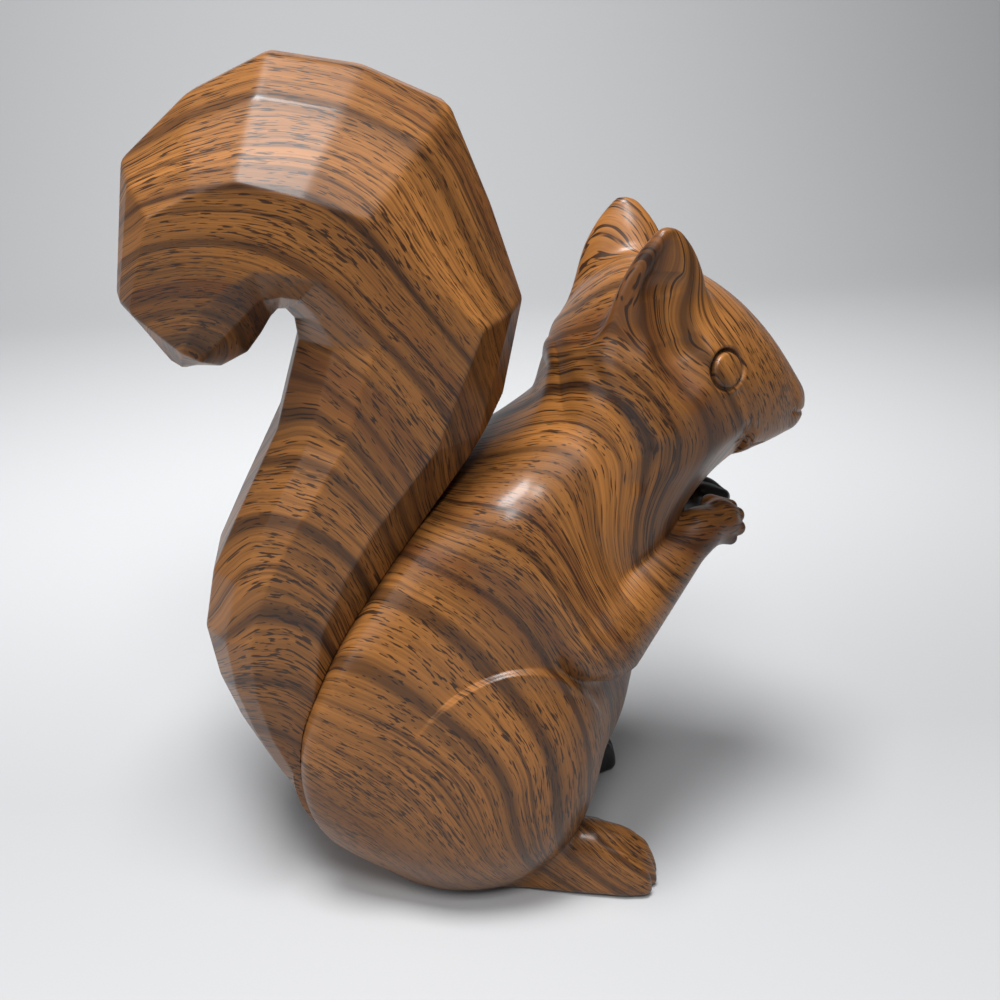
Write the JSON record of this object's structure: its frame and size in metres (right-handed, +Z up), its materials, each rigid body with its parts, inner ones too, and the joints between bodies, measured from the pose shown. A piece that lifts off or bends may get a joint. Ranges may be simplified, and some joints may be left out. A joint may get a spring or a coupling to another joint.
{
  "type": "squirrel figurine",
  "caption": "Seated squirrel ornament with a tall curled tail and paws held under its chin, resin castings under a printed wood-grain skin.",
  "frame": {"origin": "on the table, under the middle of the ornament's box", "axes": "+X the way the squirrel faces, +Y its left side, +Z up"},
  "size_m": [0.191, 0.0926, 0.248],
  "materials": {
    "printed_resin": "water-transfer wood-grain print under a satin clear coat",
    "bare_resin": "bare brown casting resin",
    "dowel_wood": "plain turned dowel",
    "felt": "dark pressed felt"
  },
  "bodies": {
    "root": {"torso_shell": "printed_resin", "head": "printed_resin", "tail_shell": "printed_resin", "left_ear": "printed_resin", "right_ear": "printed_resin", "left_foreleg": "printed_resin", "right_foreleg": "printed_resin", "left_hind_foot": "printed_resin", "right_hind_foot": "printed_resin", "left_eye": "printed_resin", "right_eye": "printed_resin", "neck_dowel": "dowel_wood", "tail_dowels": "dowel_wood", "base_plate": "bare_resin", "felt_pads": "felt"}
  },
  "joints": []
}
